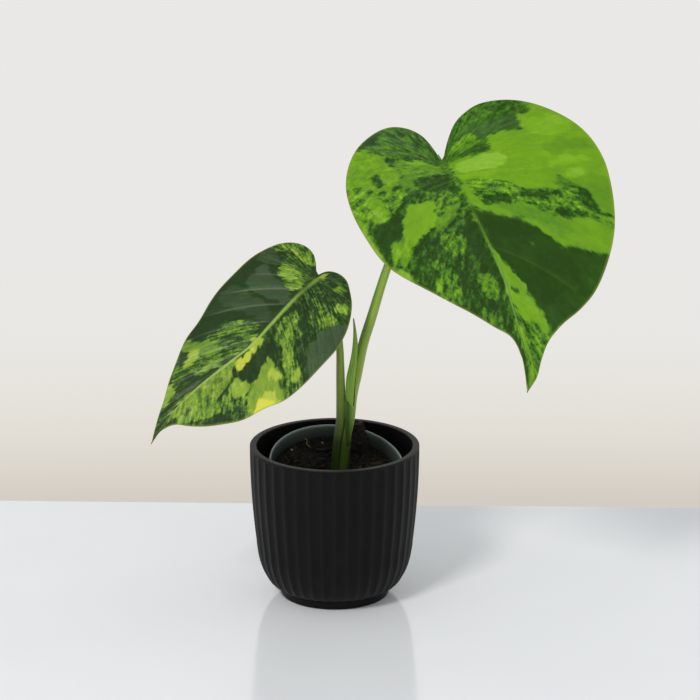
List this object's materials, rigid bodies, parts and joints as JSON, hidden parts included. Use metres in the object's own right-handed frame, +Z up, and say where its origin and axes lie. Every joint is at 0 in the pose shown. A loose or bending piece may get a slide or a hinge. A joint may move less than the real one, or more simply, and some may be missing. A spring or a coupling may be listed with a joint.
{
  "type": "potted monstera",
  "caption": "Young variegated monstera with heart-shaped leaves, growing in a thin nursery pot that leans inside a fluted black ceramic pot.",
  "frame": {"origin": "centre of the outer pot's flat underside, on the surface it stands on", "axes": "+Z up along the outer pot's axis; -Y is the front, which both leaves lean over; +X is the large leaf's side"},
  "size_m": [0.3038, 0.1524, 0.3301],
  "materials": {
    "outer_pot": "matte",
    "nursery_pot": "satin",
    "soil": "matte",
    "petiole": "satin",
    "new_leaf": "satin",
    "leaf": "satin"
  },
  "bodies": {
    "root": {"outer_pot": "outer_pot", "nursery_pot": "nursery_pot", "soil": "soil", "petiole_large_leaf": "petiole", "petiole_small_leaf": "petiole", "new_leaf_spear": "new_leaf", "leaf_large": "leaf", "leaf_small": "leaf"}
  },
  "joints": []
}
